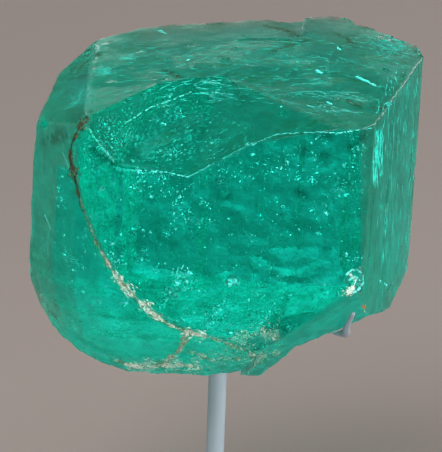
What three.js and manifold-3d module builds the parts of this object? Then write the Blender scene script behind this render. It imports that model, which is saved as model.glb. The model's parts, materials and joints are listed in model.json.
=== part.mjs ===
// A large emerald crystal on a small wire stand: a stout six-sided beryl prism with a flat dull top,
// broken underneath, that sits in three claws on a thin rod above a round base.
// Millimetres, +Z up. The origin is the middle of the base's underside.

import * as THREE from 'three';
import { mergeVertices } from 'three/addons/utils/BufferGeometryUtils.js';
import Module from 'manifold-3d';

const wasm = await Module();
wasm.setup();

// Driving dimensions of the crystal

const topHeight = 76;
const topRiseToBack = 0.42;
const bodyFoot = 34;
const leanDegrees = 1.45;
const leanPivotHeight = 55;
const heart = new THREE.Vector3(0, 0, 54);

// Corners of the prism seen along its c axis
const frontLeft = [-19.4, -20.3];
const frontRight = [18.0, -17.6];
const right = [25.3, 11.6];
const rightBack = [24.3, 16.2];
const backRight = [14.5, 26.1];
const backLeft = [-12.4, 26.4];
const leftBack = [-19.2, 20.4];
const leftMiddle = [-23.3, 12.4];
const left = [-25.1, -8.1];

// Growth ledges run up the prism faces: how many on each face, and how far each stands out
const ledgesOnFace = { front: 3, right: 9, backRight: 5, back: 6, backLeft: 3, left: 3 };
const ledgeHeight = { front: 0.06, right: 0.2, backRight: 0.25, back: 0.3, backLeft: 0.25, left: 0.12 };
const ledgeStray = 0.3;
const lowestLedgeShare = 0.1;
const ledgeSlopeWidth = 0.12;

// Driving dimensions of the stand

const rodDiameter = 2.4;
const rodFoot = 4.5;
const rodTop = 36.8;
const hubFoot = 35.6;
const hubTop = 37.5;
const hubDiameter = 5.6;
const socketDepth = 2;
const clawDiameter = 1.2;
const clawTipDiameter = 0.65;
const clawTaperShare = 0.22;
const fitGap = 0.3;
const cradleRoom = 1.018;
const baseDiameter = 54;
const baseHeight = 8;
const baseEdgeRadius = 1.6;
const baseChamfer = 0.5;

// Helpers for solids

const weldDistance = 1e-4;
const blockSize = 160;
const farAway = 60;
const zAxis = new THREE.Vector3(0, 0, 1);

const point = (x, y, z) => new THREE.Vector3(x, y, z);
const radians = (degrees) => THREE.MathUtils.degToRad(degrees);

function toSolid(geometry) {
  const bare = geometry.clone();
  bare.deleteAttribute('normal');
  bare.deleteAttribute('uv');
  const welded = mergeVertices(bare, weldDistance);
  return new wasm.Manifold(new wasm.Mesh({
    numProp: 3,
    vertProperties: new Float32Array(welded.attributes.position.array),
    triVerts: new Uint32Array(welded.index.array),
  }));
}

function toGeometry(solid) {
  const mesh = solid.getMesh();
  const geometry = new THREE.BufferGeometry();
  geometry.setAttribute('position', new THREE.BufferAttribute(mesh.vertProperties, 3));
  geometry.setIndex(new THREE.BufferAttribute(mesh.triVerts, 1));
  geometry.computeVertexNormals();
  return geometry;
}

function named(name, geometry, finish) {
  const mesh = new THREE.Mesh(geometry, new THREE.MeshStandardMaterial(finish));
  mesh.name = name;
  return mesh;
}

// A block over everything on the outer side of the plane through three points
function blockBeyond(a, b, c) {
  const plane = new THREE.Plane().setFromCoplanarPoints(a, b, c);
  if (plane.distanceToPoint(heart) > 0) plane.negate();
  const block = new THREE.BoxGeometry(blockSize, blockSize, blockSize);
  block.translate(0, 0, blockSize / 2);
  block.applyQuaternion(new THREE.Quaternion().setFromUnitVectors(zAxis, plane.normal));
  const foot = plane.projectPoint(heart, new THREE.Vector3());
  block.translate(foot.x, foot.y, foot.z);
  return toSolid(block);
}

// The place where a ray first meets a surface, and the surface's normal there
function surfaceHit(geometry, from, towards) {
  const ray = new THREE.Raycaster(from, towards.clone().sub(from).normalize());
  const hit = ray.intersectObject(new THREE.Mesh(geometry, new THREE.MeshBasicMaterial()))[0];
  return { place: hit.point, normal: hit.face.normal };
}

// The prism

// One face of the plan from corner to corner, as shallow steps that each lean out and drop back.
// The ledges are uneven in width and in height.
function ledgedFace(from, to, count, height) {
  const start = new THREE.Vector2(...from);
  const along = new THREE.Vector2(...to).sub(start);
  const inward = new THREE.Vector2(-along.y, along.x).normalize();
  const points = [start];
  for (let i = 1; i < count; i += 1) {
    const share = (i + ledgeStray * Math.sin(i * 2.4)) / count;
    const unevenness = 0.5 + 0.5 * Math.sin(i * 1.9);
    const drop = height * THREE.MathUtils.lerp(lowestLedgeShare, 1, unevenness);
    const edge = start.clone().addScaledVector(along, share);
    points.push(edge.clone().addScaledVector(inward, drop));
    points.push(edge.clone().addScaledVector(along, ledgeSlopeWidth / count));
  }
  return points;
}

function prism() {
  const faces = [
    ['front', frontLeft, frontRight],
    ['right', frontRight, right],
    ['backRight', right, rightBack],
    ['backRight', rightBack, backRight],
    ['back', backRight, backLeft],
    ['backLeft', backLeft, leftBack],
    ['backLeft', leftBack, leftMiddle],
    ['backLeft', leftMiddle, left],
    ['left', left, frontLeft],
  ];
  const outline = faces.flatMap(
    ([name, from, to]) => ledgedFace(from, to, ledgesOnFace[name], ledgeHeight[name]),
  );
  const spareHeight = 6;
  const column = new THREE.ExtrudeGeometry(new THREE.Shape(outline), {
    depth: topHeight + spareHeight - bodyFoot,
    bevelEnabled: false,
  });
  column.translate(0, 0, bodyFoot);
  return toSolid(column);
}

// Flat cuts: the top, which rises a little to the back, with its gentle second slope, the bevel on
// the upper left, and the narrow facet down the front right edge

function flatTop(solid) {
  const topLeft = point(...frontLeft, topHeight);
  const topRight = point(...frontRight, topHeight);
  const topBack = point(...backRight, topHeight + topRiseToBack);
  const lowBackLeft = point(-14.3, 24.4, topHeight - 3);
  const bevelFront = point(-18.6, -20.5, topHeight);
  const bevelBack = point(-16.7, 15, topHeight - 1.9);
  const bevelLow = point(...left, topHeight - 5);
  return solid
    .subtract(blockBeyond(topLeft, topRight, topBack))
    .subtract(blockBeyond(topLeft, topBack, lowBackLeft))
    .subtract(blockBeyond(bevelFront, bevelBack, bevelLow));
}

function frontRightFacet(solid) {
  const low = point(17.9, -17.55, 57);
  const highFront = point(16.7, -17.6, topHeight);
  const highRight = point(18.35, -15.6, topHeight);
  return solid.subtract(blockBeyond(low, highFront, highRight));
}

// The wide shallow chip in the front top edge, with three flat floors, and a thin bevel right of it
function frontTopChip(solid) {
  const chipLeft = point(-19.4, -20.3, topHeight + 0.3);
  const floorLeft = point(-14.4, -19.9, 70.1);
  const floorLow = point(-4.9, -19.3, 68.8);
  const floorRight = point(3.3, -18.7, 73.8);
  const bevelEnd = point(13.5, -18.0, 75.9);
  const backOfSteepFloor = point(-15.5, -14, topHeight);
  const backOfMainFloor = point(-9.5, -3.5, topHeight);
  const backOfRightFloor = point(0.6, -3.6, topHeight);
  const backOfBevel = point(8.8, -12.4, topHeight);
  const steepFloor = blockBeyond(chipLeft, floorLeft, backOfSteepFloor);
  const mainFloor = blockBeyond(floorLeft, floorLow, backOfMainFloor);
  const rightFloor = blockBeyond(floorLow, floorRight, backOfRightFloor);
  const chipEnd = point(0.9, -3.6, topHeight);
  const rightOfChip = blockBeyond(floorRight, chipEnd, point(chipEnd.x, chipEnd.y, 0));
  const bevel = blockBeyond(floorRight, bevelEnd, backOfBevel).intersect(rightOfChip);
  return solid
    .subtract(steepFloor.intersect(mainFloor).intersect(rightFloor))
    .subtract(bevel);
}

// Breaks under the crystal: the round mass at the lower left, the slanting break at the lower
// right, and the rough underside

// A ball of radius 1 that is squarer than a sphere, the more so the higher its power
function squaredBall(power) {
  const ball = new THREE.SphereGeometry(1, 40, 26);
  ball.rotateX(Math.PI / 2);
  const places = ball.attributes.position;
  for (let i = 0; i < places.count; i += 1) {
    const place = new THREE.Vector3().fromBufferAttribute(places, i);
    const sum = place.toArray().reduce((total, side) => total + Math.abs(side) ** power, 0);
    place.multiplyScalar(sum ** (-1 / power));
    places.setXYZ(i, place.x, place.y, place.z);
  }
  return ball;
}

// Everything on the seam's lower side is broken away down to a round mass
function lowerLeftMass(solid) {
  const seamSide = new THREE.Shape([
    [-40, 63], [-25, 66], [-19.6, 68.5], [-18.6, 64], [-17.2, 61], [-16.0, 58.6], [-14.3, 55.6], [-12.4, 53],
    [-9.5, 50.4], [-6, 48.3], [-2.3, 46.9], [2.6, 45.9], [5.2, 43.6], [5.0, 41.5], [3.4, 39], [3.4, 30],
    [-40, 30],
  ].map(([x, z]) => new THREE.Vector2(x, z)));
  const behindSeam = new THREE.ExtrudeGeometry(seamSide, { depth: blockSize, bevelEnabled: false });
  behindSeam.rotateX(Math.PI / 2);
  behindSeam.translate(0, blockSize / 2, 0);
  const round = squaredBall(2.66);
  round.scale(21.7, 25, 27.3);
  round.translate(-5.4, 4.4, 62.1);
  return solid.subtract(toSolid(behindSeam).subtract(toSolid(round)));
}

function lowerRightBreak(solid) {
  const edgeTop = point(18.0, -17.4, 54.8);
  const edgeMiddle = point(16.1, -17.7, 52.5);
  const edgeLow = point(6.8, -18.4, 46.0);
  const underFront = point(10.1, -12, 43.3);
  const underCorner = point(19.2, -12, 48.2);
  const underRight = point(22.6, 6, 42.2);
  const steepBreak = blockBeyond(edgeTop, point(24.2, 3.2, 44.3), point(21.3, -3, 42.7));
  const frontBreak = blockBeyond(edgeMiddle, edgeLow, point(12, -12, 44.0));
  const lowBreak = blockBeyond(underFront, underCorner, underRight);
  const rightOfFoot = blockBeyond(underFront, point(6.5, -12, 39.2), point(9.5, 6, 41.6));
  const farRightBreak = blockBeyond(point(25.3, 10.8, 44.2), point(24.4, 10.8, 40.2), point(24.8, 18, 43.6));
  return solid
    .subtract(steepBreak)
    .subtract(frontBreak)
    .subtract(lowBreak.intersect(rightOfFoot))
    .subtract(farRightBreak);
}

function underside(solid) {
  const footLeft = point(-11, -11.2, 37.9);
  const footRight = point(6, -11.2, 38.7);
  const flatFoot = blockBeyond(footLeft, footRight, point(-4, 14, 38.6));
  const frontSlope = blockBeyond(footLeft, footRight, point(0, -19, 41.9));
  const leftSlope = blockBeyond(point(-18, 10, 40.5), point(-14, 20, 43), point(-6, 16, 39.5));
  const backSlope = blockBeyond(point(-4, 15, 39), point(10, 15, 39.6), point(2, 25.5, 44.5));
  const rightSlope = blockBeyond(point(13, 6, 39.8), point(13, 16, 40.6), point(24, 14, 45.6));
  return [flatFoot, frontSlope, leftSlope, backSlope, rightSlope]
    .reduce((rest, cut) => rest.subtract(cut), solid);
}

// A shell-shaped break: a shallow dish with rings that spread from where the blow fell
function shellBreak({ middle, outward, width, dishRadius, ringWidth, ringHeight }) {
  const profile = [new THREE.Vector2(0, 0)];
  const stepsPerRing = 2.5;
  const steps = Math.ceil((width / ringWidth) * stepsPerRing);
  for (let i = 1; i <= steps; i += 1) {
    const reach = (width * i) / steps;
    const rings = ringHeight * Math.sin((reach / ringWidth) * 2 * Math.PI);
    profile.push(new THREE.Vector2(reach, (reach * reach) / (2 * dishRadius) + rings));
  }
  const clearOfStone = width * 1.5;
  profile.push(new THREE.Vector2(width, clearOfStone));
  profile.push(new THREE.Vector2(0, clearOfStone));
  const dish = new THREE.LatheGeometry(profile, 36);
  dish.rotateX(Math.PI / 2);
  dish.applyQuaternion(new THREE.Quaternion().setFromUnitVectors(zAxis, outward.clone().normalize()));
  dish.translate(middle.x, middle.y, middle.z);
  return toSolid(dish);
}

function shellBreaks(solid) {
  const breaks = {
    lowOnBack: {
      middle: point(8, 27.4, 52), outward: point(0.1, 1, -0.55),
      width: 13, dishRadius: 34, ringWidth: 2.6, ringHeight: 0.16,
    },
    lowOnBackLeft: {
      middle: point(-21.6, 15, 48), outward: point(-1, 0.6, -0.35),
      width: 10, dishRadius: 24, ringWidth: 2.2, ringHeight: 0.14,
    },
    underFrontLeft: {
      middle: point(-8, -12, 38.6), outward: point(-0.1, -0.5, -1),
      width: 8, dishRadius: 30, ringWidth: 1.9, ringHeight: 0.12,
    },
    underMiddle: {
      middle: point(10.5, 0.5, 45.2), outward: point(0.25, 0.1, -1),
      width: 10, dishRadius: 13, ringWidth: 2.4, ringHeight: 0.12,
    },
    topBackEdge: {
      middle: point(-3, 26.2, 75.2), outward: point(-0.1, 0.9, 1),
      width: 5, dishRadius: 14, ringWidth: 1.6, ringHeight: 0.1,
    },
    topBackNick: {
      middle: point(6.6, 25.5, 74.8), outward: point(0.1, 1, 1),
      width: 3.2, dishRadius: 5, ringWidth: 1.2, ringHeight: 0.05,
    },
    leftEdge: {
      middle: point(-24.9, -2, 56), outward: point(-1, -0.3, -0.2),
      width: 5.5, dishRadius: 40, ringWidth: 1.8, ringHeight: 0.08,
    },
  };
  return Object.values(breaks).reduce((rest, bite) => rest.subtract(shellBreak(bite)), solid);
}

// Growth terraces and small six-sided etch pits on the top

const terraceFloor = { right: topHeight + 0.18, back: topHeight - 0.75 };

function topTerrace(outline, floorHeight) {
  const slab = new THREE.ExtrudeGeometry(new THREE.Shape(outline.map(([x, y]) => new THREE.Vector2(x, y))), {
    depth: topHeight - floorHeight + 1,
    bevelEnabled: false,
  });
  slab.translate(0, 0, floorHeight);
  return toSolid(slab);
}

function terraces(solid) {
  const rightTerrace = [
    [30, -30], [17.5, -16.2], [18.6, -9], [17.4, -1], [18.8, 5], [16.4, 11], [13.2, 15.5], [9, 19], [6, 30],
    [30, 30],
  ];
  const backTerrace = [[9.6, 30], [9.2, 18], [7.4, 15.2], [2, 16.6], [-5, 15], [-9, 17.6], [-12, 30]];
  return solid
    .subtract(topTerrace(rightTerrace, terraceFloor.right))
    .subtract(topTerrace(backTerrace, terraceFloor.back));
}

// The pits lie on an even spiral and are turned as the prism is
const pitCount = 26;
const pitReach = { least: 0.6, most: 1.4 };
const pitDepthShare = 0.55;
const pitFieldMiddle = { x: 2.5, y: 4 };
const pitFieldReach = { x: 19.5, y: 17.5 };
const prismTurn = 34;

function etchPits(solid) {
  const goldenTurn = Math.PI * (3 - Math.sqrt(5));
  let pitted = solid;
  for (let i = 0; i < pitCount; i += 1) {
    const spread = Math.sqrt((i + 0.5) / pitCount);
    const turn = i * goldenTurn;
    const x = pitFieldMiddle.x + pitFieldReach.x * spread * Math.cos(turn);
    const y = pitFieldMiddle.y + pitFieldReach.y * spread * Math.sin(turn);
    const reach = THREE.MathUtils.lerp(pitReach.least, pitReach.most, Math.abs(Math.sin(i * 1.7)));
    const hit = surfaceHit(toGeometry(pitted), point(x, y, topHeight + farAway), point(x, y, 0));
    const onTheFlat = hit.normal.z > 0.9;
    if (!onTheFlat) continue;
    const pit = new THREE.ConeGeometry(reach, reach * pitDepthShare, 6);
    pit.rotateX(-Math.PI / 2);
    pit.rotateZ(radians(prismTurn));
    pit.translate(hit.place.x, hit.place.y, hit.place.z);
    pitted = pitted.subtract(toSolid(pit));
  }
  return pitted;
}

// The seam: an open crack that comes down the front left edge, sweeps across the lower front and
// runs out under the crystal. It is cut as a narrow V that follows the surface.
const seamRoute = [
  [-18.3, 74.6], [-19.4, 72.6], [-19.7, 69.4], [-18.8, 65.2], [-17.5, 62.2], [-16.3, 59.4], [-14.8, 56.6],
  [-13.2, 54.2], [-10.6, 51.6], [-7.4, 49.0], [-2.4, 47.0], [2.8, 45.8],
];
const seamWidth = 0.7;
const seamDepth = 0.55;
const seamSteps = 60;

function seam(solid) {
  const surface = toGeometry(solid);
  const route = seamRoute.map(([x, z]) => surfaceHit(surface, point(x, -farAway, z), point(x, 0, z)).place);
  const curve = new THREE.CatmullRomCurve3(route);
  const cut = new THREE.Shape([
    new THREE.Vector2(-seamWidth, 0),
    new THREE.Vector2(0, -seamDepth),
    new THREE.Vector2(seamWidth, 0),
    new THREE.Vector2(0, seamDepth),
  ]);
  return solid.subtract(toSolid(new THREE.ExtrudeGeometry(cut, { steps: seamSteps, extrudePath: curve })));
}

// Chips on the edges: low lumps of stone broken out, each a squashed many-sided ball
function edgeChips(solid) {
  const chips = [
    { at: point(-18.7, -20.3, 76.2), size: point(1.5, 1.4, 1.0) },
    { at: point(17.4, -17.6, 55.4), size: point(1.5, 0.9, 1.5) },
    { at: point(18.3, -16.4, 54.0), size: point(0.9, 1.3, 0.9) },
    { at: point(22.6, 0.6, 47.6), size: point(1.0, 1.6, 0.9) },
    { at: point(24.6, 4.0, 76.0), size: point(1.1, 1.4, 0.7) },
    { at: point(20.8, -7.6, 76.0), size: point(0.9, 1.2, 0.6) },
    { at: point(-23.9, -10.4, 71.6), size: point(1.0, 1.2, 0.8) },
    { at: point(-17.6, 19.0, 73.6), size: point(1.4, 1.4, 0.9) },
    { at: point(20.2, 18.2, 75.7), size: point(1.2, 1.0, 0.9) },
    { at: point(-12.4, -19.8, 42.6), size: point(1.7, 1.2, 1.1) },
    { at: point(4.6, -18.8, 42.8), size: point(1.3, 1.0, 0.9) },
    { at: point(-25.0, -7.0, 50.6), size: point(0.8, 1.3, 1.3) },
    { at: point(25.2, 11.0, 60.0), size: point(0.6, 0.8, 1.6) },
  ];
  return chips.reduce((rest, { at, size }, i) => {
    const lump = new THREE.IcosahedronGeometry(1, 0);
    lump.rotateZ(i * 1.3);
    lump.rotateX(i * 0.7);
    lump.scale(size.x, size.y, size.z);
    lump.translate(at.x, at.y, at.z);
    return rest.subtract(toSolid(lump));
  }, solid);
}

function crystalSolid() {
  const cuts = [
    flatTop, frontTopChip, frontRightFacet, lowerLeftMass, lowerRightBreak, underside,
    shellBreaks, terraces, etchPits, seam, edgeChips,
  ];
  const upright = cuts.reduce((solid, cut) => cut(solid), prism());
  const leaned = toGeometry(upright);
  leaned.translate(0, 0, -leanPivotHeight);
  leaned.rotateY(radians(leanDegrees));
  leaned.translate(0, 0, leanPivotHeight);
  return toSolid(leaned);
}

// The stand

// Each claw leaves the hub in one direction and ends in another, and its tip stands at a polar
// angle from the crystal's heart, where 90 degrees is level with it
const claws = {
  frontRight: { leaves: -11, ends: -41.5, tipAngle: 101.5 },
  back: { leaves: 72, ends: 72, tipAngle: 108 },
  left: { leaves: 158, ends: 158, tipAngle: 106 },
};
const clawStartAngle = 178;
const clawTurn = { start: 0.52, end: 1 };
const clawStops = 9;
const clawSteps = 24;
const steepestSlant = 0.65;

// Draws the last stretch of a wire down to the width of its tip
function taperTowardsEnd(wire, curve) {
  const samples = curve.getPoints(160);
  const places = wire.attributes.position;
  for (let i = 0; i < places.count; i += 1) {
    const place = new THREE.Vector3().fromBufferAttribute(places, i);
    const distances = samples.map((sample) => sample.distanceTo(place));
    const nearest = distances.indexOf(Math.min(...distances));
    const along = nearest / (samples.length - 1);
    const drawn = THREE.MathUtils.smoothstep(along, 1 - clawTaperShare, 1);
    const share = THREE.MathUtils.lerp(1, clawTipDiameter / clawDiameter, drawn);
    place.sub(samples[nearest]).multiplyScalar(share).add(samples[nearest]);
    places.setXYZ(i, place.x, place.y, place.z);
  }
}

// A claw is bent to the crystal: it follows the surface a wire's radius and the gap away from it,
// from under the middle out and up round the edge
function clawSolid(surface, { leaves, ends, tipAngle }) {
  const clear = clawDiameter / 2 + fitGap;
  const route = [];
  for (let i = 0; i <= clawStops; i += 1) {
    const share = i / clawStops;
    const polar = radians(THREE.MathUtils.lerp(clawStartAngle, tipAngle, share));
    const turned = THREE.MathUtils.smoothstep(share, clawTurn.start, clawTurn.end);
    const azimuth = THREE.MathUtils.lerp(leaves, ends, turned);
    const outward = point(Math.sin(polar), 0, Math.cos(polar)).applyAxisAngle(zAxis, radians(azimuth));
    const hit = surfaceHit(surface, heart.clone().addScaledVector(outward, farAway), heart);
    const slant = Math.max(steepestSlant, Math.abs(hit.normal.dot(outward)));
    route.push(hit.place.clone().addScaledVector(outward, clear / slant));
  }
  const curve = new THREE.CatmullRomCurve3(route);
  const section = new THREE.Shape().absarc(0, 0, clawDiameter / 2, 0, 2 * Math.PI);
  const wire = new THREE.ExtrudeGeometry(section, { steps: clawSteps, curveSegments: 4, extrudePath: curve });
  taperTowardsEnd(wire, curve);
  const tip = new THREE.SphereGeometry(clawTipDiameter / 2, 10, 6);
  tip.translate(...curve.getPoint(1).toArray());
  return toSolid(wire).add(toSolid(tip));
}

// An upright cylinder between two heights, on the rod's axis
function uprightCylinder(diameter, foot, top, sides) {
  const cylinder = new THREE.CylinderGeometry(diameter / 2, diameter / 2, top - foot, sides);
  cylinder.rotateX(Math.PI / 2);
  cylinder.translate(0, 0, (top + foot) / 2);
  return cylinder;
}

// The hub and the three claws, cut clear of the crystal and bored for the rod
function clawCradle(crystal) {
  const surface = toGeometry(crystal);
  const hub = uprightCylinder(hubDiameter, hubFoot, hubTop, 24);
  const socketTop = rodTop + fitGap;
  const socket = uprightCylinder(rodDiameter + 2 * fitGap, socketTop - socketDepth, socketTop, 24);
  const arms = Object.values(claws).map((claw) => clawSolid(surface, claw));
  const roomy = toGeometry(crystal);
  roomy.translate(-heart.x, -heart.y, -heart.z);
  roomy.scale(cradleRoom, cradleRoom, cradleRoom);
  roomy.translate(heart.x, heart.y, heart.z);
  const joined = arms.reduce((rest, arm) => rest.add(arm), toSolid(hub));
  return joined.subtract(toSolid(roomy)).subtract(toSolid(socket));
}

function standRod() {
  return uprightCylinder(rodDiameter, rodFoot, rodTop, 32);
}

function standBase() {
  const rim = baseDiameter / 2;
  const socketRadius = rodDiameter / 2 + fitGap;
  const socketFloor = rodFoot - fitGap;
  const outline = new THREE.Path();
  outline.moveTo(0, 0);
  outline.lineTo(rim - baseChamfer, 0);
  outline.lineTo(rim, baseChamfer);
  outline.lineTo(rim, baseHeight - baseEdgeRadius);
  outline.absarc(rim - baseEdgeRadius, baseHeight - baseEdgeRadius, baseEdgeRadius, 0, Math.PI / 2);
  outline.lineTo(socketRadius, baseHeight);
  outline.lineTo(socketRadius, socketFloor);
  outline.lineTo(0, socketFloor);
  const turned = new THREE.LatheGeometry(outline.getPoints(5), 48);
  turned.rotateX(Math.PI / 2);
  return toGeometry(toSolid(turned));
}

const crystal = crystalSolid();
const paint = { color: 0x97a9b6, roughness: 0.45, metalness: 0.0 };

const part = new THREE.Group();
part.add(
  named('emerald_crystal', toGeometry(crystal), { color: 0x119b81, roughness: 0.15, metalness: 0.0 }),
  named('claw_cradle', toGeometry(clawCradle(crystal)), paint),
  named('stand_rod', standRod(), paint),
  named('stand_base', standBase(), paint),
);

export default part;
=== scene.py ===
# The looks of a large emerald crystal on a small wire stand: the clear stone with its frosted
# faces, its inner garden of voids and flecks, the crusts along its cracks, and the painted stand.
# Metres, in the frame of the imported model, +Z up.

import json
import math
import random

import bpy
import numpy as np
from mathutils import Matrix, Vector, noise
from mathutils.bvhtree import BVHTree

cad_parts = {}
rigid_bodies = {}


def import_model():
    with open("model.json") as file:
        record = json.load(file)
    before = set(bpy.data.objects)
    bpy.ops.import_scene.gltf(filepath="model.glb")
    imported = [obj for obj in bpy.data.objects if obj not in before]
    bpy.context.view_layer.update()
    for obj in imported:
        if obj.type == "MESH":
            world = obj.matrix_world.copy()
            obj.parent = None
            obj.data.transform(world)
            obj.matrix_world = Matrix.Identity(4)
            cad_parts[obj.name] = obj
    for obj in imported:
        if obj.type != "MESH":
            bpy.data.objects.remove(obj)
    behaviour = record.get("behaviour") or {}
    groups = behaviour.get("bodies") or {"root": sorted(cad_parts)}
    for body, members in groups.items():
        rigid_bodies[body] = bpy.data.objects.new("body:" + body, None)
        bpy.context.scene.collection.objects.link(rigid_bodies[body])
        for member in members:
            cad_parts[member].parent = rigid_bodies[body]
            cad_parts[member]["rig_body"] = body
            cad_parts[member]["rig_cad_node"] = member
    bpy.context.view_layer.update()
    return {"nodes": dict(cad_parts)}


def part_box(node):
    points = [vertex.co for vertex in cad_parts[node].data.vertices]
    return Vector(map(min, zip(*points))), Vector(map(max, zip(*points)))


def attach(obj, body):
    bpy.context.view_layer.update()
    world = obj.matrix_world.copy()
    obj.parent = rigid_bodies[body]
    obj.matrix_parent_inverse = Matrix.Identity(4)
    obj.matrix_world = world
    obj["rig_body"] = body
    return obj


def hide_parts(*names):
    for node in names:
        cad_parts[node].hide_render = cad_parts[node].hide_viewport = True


MM = 0.001
CHANCE = random.Random(11)

# The camera, as the photograph was taken

PHOTO_WIDTH = 442
PHOTO_HEIGHT = 452
VIEW_ELEVATION = math.radians(21)
VIEW_ROLL = math.radians(2)
VIEW_TARGET = Vector((-0.25, 0, 55)) * MM
VIEW_DISTANCE = 700 * MM
FOCAL_PIXELS = 5317
SENSOR_WIDTH = 36
NEAREST_SEEN = 0.01
FARTHEST_SEEN = 50
LEVEL_UP = Vector((0, math.sin(VIEW_ELEVATION), math.cos(VIEW_ELEVATION)))
VIEW_INTO = Vector((0, math.cos(VIEW_ELEVATION), -math.sin(VIEW_ELEVATION)))
VIEW_RIGHT = Vector((1, 0, 0)) * math.cos(VIEW_ROLL) + LEVEL_UP * math.sin(VIEW_ROLL)
VIEW_UP = LEVEL_UP * math.cos(VIEW_ROLL) - Vector((1, 0, 0)) * math.sin(VIEW_ROLL)
VIEW_PLACE = VIEW_TARGET - VIEW_INTO * VIEW_DISTANCE

# One pixel of the photograph, at the stone
PIXEL = 0.1316 * MM

# The soft lights and the floor

KEY_PLACE = Vector((-0.35, -0.60, 0.85))

# Name, place, side and power of each light
SOFT_LIGHTS = [
    ("key", KEY_PLACE, 0.50, 6.2),
    ("overhead", Vector((0.0, -0.15, 0.80)), 0.60, 2.5),
    ("front_low", Vector((0.10, -0.80, 0.12)), 0.40, 3.6),
    ("side_right", Vector((0.80, -0.10, 0.30)), 0.50, 5.8),
    ("back_left", Vector((-0.62, 0.44, 0.20)), 0.50, 0.5),
    ("back_low", Vector((0.05, 0.62, 0.06)), 0.30, 0.5),
]
STUDIO_COLOUR = (0.8, 0.79, 0.78, 1)
STUDIO_STRENGTH = 0.09
FLOOR_SIDE = 12
FLOOR_COLOUR = (0.31, 0.258, 0.236, 1)
FLOOR_ROUGHNESS = 0.9
MOST_BOUNCES = 24

# The stone

CRYSTAL_HEART = Vector((0, 0, 54)) * MM
EMERALD_IOR = 1.575
ABSORBED_COLOUR = (0.0, 0.96, 0.91, 1)
ABSORPTION_DENSITY = 120.0
NET_DEPTH = 8
NET_SCALE = 0.50
STONE_EDGE_ANGLE = math.radians(35)

# Where each kind of surface starts and where it is full: tilts are parts of the normal, and levels,
# sides and depths are heights, X and Y in millimetres
TOP_TILT = (0.93, 0.98)
TOP_LEVEL = (72.5, 74)
CHIP_TILT = (0.6, 0.75)
CHIP_LEVEL = (67.5, 68.3)
CHIP_SIDE = (15.5, 14.5)
FRONT_TILT = (-0.97, -0.99)
RIGHT_TILT = (0.9, 0.95)
RIGHT_LEVEL = (45, 48)
SLOPING_TILT = (0.12, 0.25)
BACK_TILT = (-0.3, 0.0)
UNDER_TILT = (-0.3, -0.6)
BEVEL_TILT = (0.1, 0.3)
LEFT_BEVEL_TILT = (0, -0.2)
BROKEN_BACK_TILT = (0.0, 0.3)
BROKEN_LEFT_TILT = (-0.8, -0.95)
BROKEN_FOOT_SIDE = (2, 8)
BROKEN_FOOT_LEVEL = (58, 54)
LOWER_LEFT_SIDE = (-4, -12)
LOWER_LEFT_LEVEL = (60, 54)
LOWER_LEFT_DEPTH = (5, -5)
LEFT_SIDE_TILT = (-0.75, -0.9)
LEFT_SIDE_DEPTH = (6, -2)
WORN_SIDE = (-8, -12)
WORN_LEVEL = (66, 69)
WEAR_PASSES = 14
LEAST_WEIGHT = 0.01
ROUTE_STEPS = 40

# The relief of each kind of surface: grain and height in millimetres, how far the grain is drawn
# out along X, Y and Z, its turn in degrees, and the level of the pattern that stays in place
RELIEFS = [
    ("right", 0.7, 0.3, (1, 1, 30), 0, 0.6),
    ("back", 1.6, 0.6, (1, 1, 10), 0, 0.6),
    ("back", 2.2, 1.2, (1, 1, 1), 0, 0.6),
    ("front", 1.1, 0.05, (1, 1, 12), 0, 0.6),
    ("top", 3.0, 0.22, (4, 1, 1), 9, 1.1),
    ("top", 1.2, 0.10, (9, 1, 1), -14, 1.1),
    ("bevel", 2.4, 0.10, (1, 1, 1), 0, 0.9),
    ("chip", 2.4, 0.10, (1, 1, 1), 0, 0.6),
    ("broken", 6.0, 0.30, (1, 1, 1), 0, 0.6),
    ("under", 1.8, 0.7, (1, 1, 1), 0, 0.6),
]

# Places on the stone, as pixels of the photograph

SEAM_UPPER = [(87, 117), (82, 124), (76, 134), (72, 144), (70, 154), (72, 168), (76, 184), (80, 200)]
SEAM_MIDDLE = [(80, 200), (86, 216), (95, 240), (101, 252), (108, 266)]
SEAM_LOWER = [
    (102, 252), (112, 270), (124, 286), (136, 298), (150, 311), (164, 322), (184, 331), (204, 336),
]
SEAM_END = [(204, 336), (224, 342), (244, 350), (262, 362)]
CRUST_BRANCH = [(186, 336), (180, 350), (168, 360), (158, 364)]
CRUST_FOOT = [(116, 360), (130, 366), (150, 367), (174, 364), (198, 367)]
CRUST_FOOT_RIGHT = [(234, 340), (248, 336), (262, 330), (274, 336), (282, 348)]
CRUST_FOOT_EDGE = [(190, 352), (214, 360), (236, 358), (258, 356), (284, 352)]
RUST_SPOT = [(363, 305), (365, 309)]
RUST_SPOT_FOOT = [(364, 310), (366, 313)]
BRUISE = [(350, 274), (356, 280), (352, 290), (347, 293)]
SLANT_BREAK = [(316, 319), (334, 306), (351, 295)]
FROSTED_PATCH = [(142, 152), (160, 140), (180, 128), (198, 117)]
BEVEL_CREST = [(91, 36), (91, 60), (90, 84), (88, 112)]
PALE_PATCH = [(244, 346), (260, 340), (278, 334)]
# A band of the front, darkened as painted shade
PAINTED_SHADE_PATCH = [(258, 264), (296, 262), (334, 258)]
TOP_STAINS = [
    [(78, 70), (88, 60), (100, 53)], [(265, 26), (284, 30), (300, 36)],
    [(270, 52), (288, 46), (305, 40)], [(338, 34), (346, 38), (355, 47)],
    [(347, 100), (362, 108), (383, 108)], [(166, 70), (174, 75), (180, 77)],
]
SMUDGES = [
    [(318, 134), (330, 137)], [(302, 148), (304, 150)], [(322, 152), (326, 155)], [(350, 147), (364, 136)],
    [(338, 180), (348, 186)], [(298, 192), (304, 194)], [(216, 182), (226, 196)], [(95, 150), (116, 166)],
    [(44, 140), (66, 134)],
]
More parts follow.
